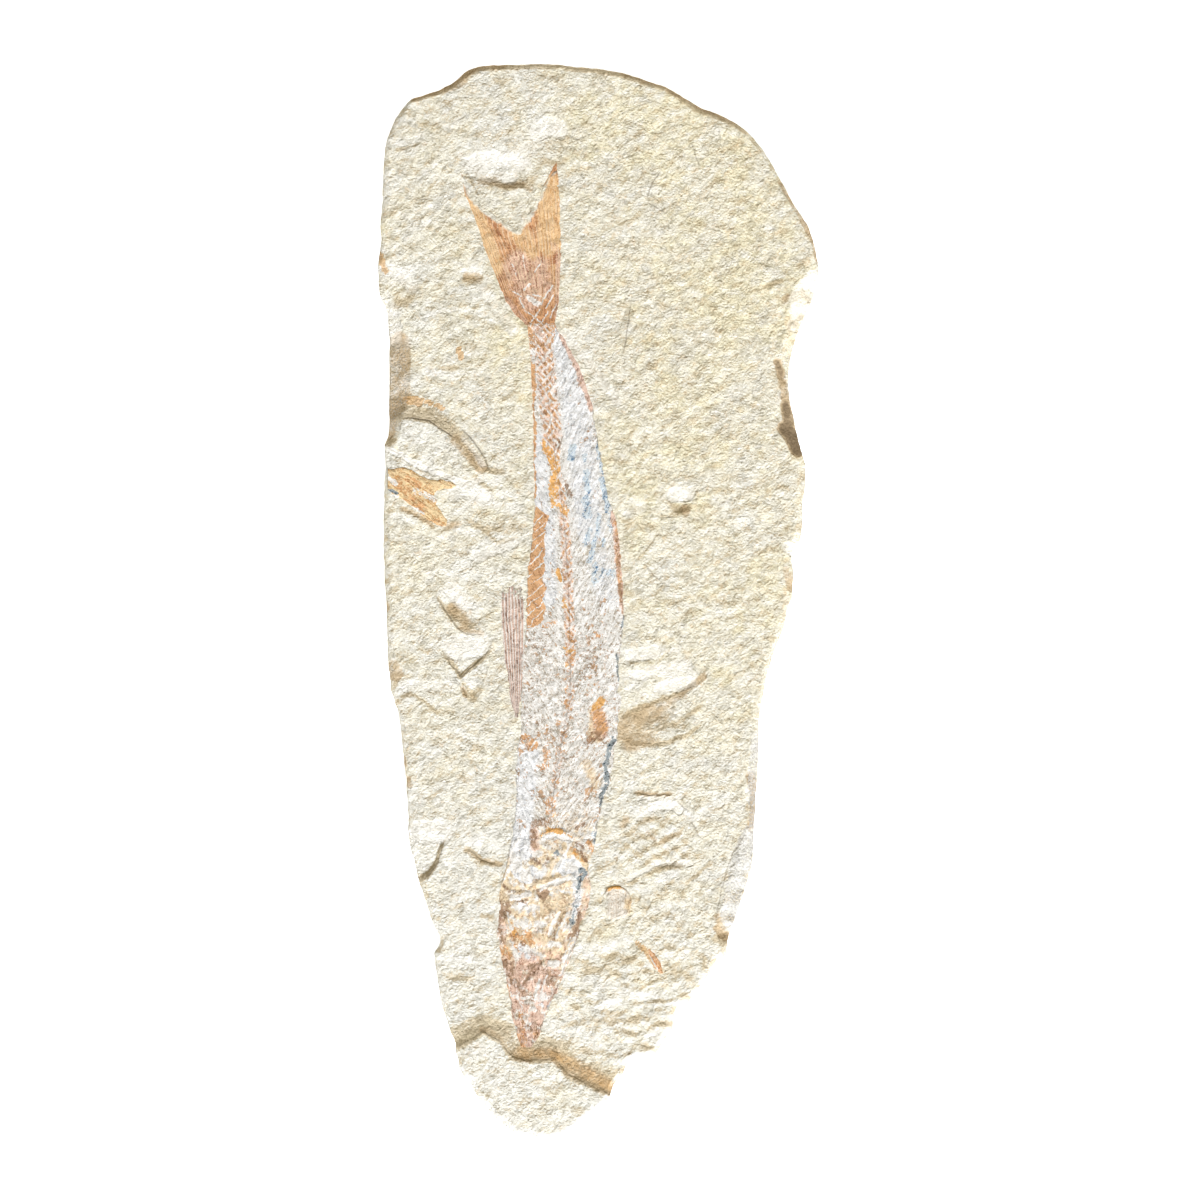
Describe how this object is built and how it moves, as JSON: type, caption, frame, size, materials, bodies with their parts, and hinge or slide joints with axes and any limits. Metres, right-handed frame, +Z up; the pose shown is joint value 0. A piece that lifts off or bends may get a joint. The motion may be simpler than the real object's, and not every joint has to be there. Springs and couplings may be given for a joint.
{
  "type": "fossil fish slab",
  "caption": "Long broken slab of cream limestone with a slender fossil fish, its forked tail fin and loose bone flakes set in the prepared face; lies flat on its back for display.",
  "frame": {"origin": "on the resting plane, under the middle of the slab's bounding box", "axes": "+Y along the slab from the fish's snout towards its tail, +X to the right as the face is seen from above with the tail up, +Z up out of the face"},
  "size_m": [0.0822, 0.2, 0.0117],
  "materials": {
    "limestone": "matt, fine-grained, hand-prepared",
    "bone_and_skin": "matt mineralised bone and skin, pale with rust flecks",
    "rust_bone": "matt rust-stained bone rays",
    "ochre_bone": "slightly glossy ochre bone",
    "shell": "matt, orange at the rim"
  },
  "bodies": {
    "root": {"slab": "limestone", "fish_body": "bone_and_skin", "tail_fin": "rust_bone", "belly_fin": "rust_bone", "bone_flake": "ochre_bone", "bone_splinter": "ochre_bone", "shell_disc": "shell"}
  },
  "joints": []
}
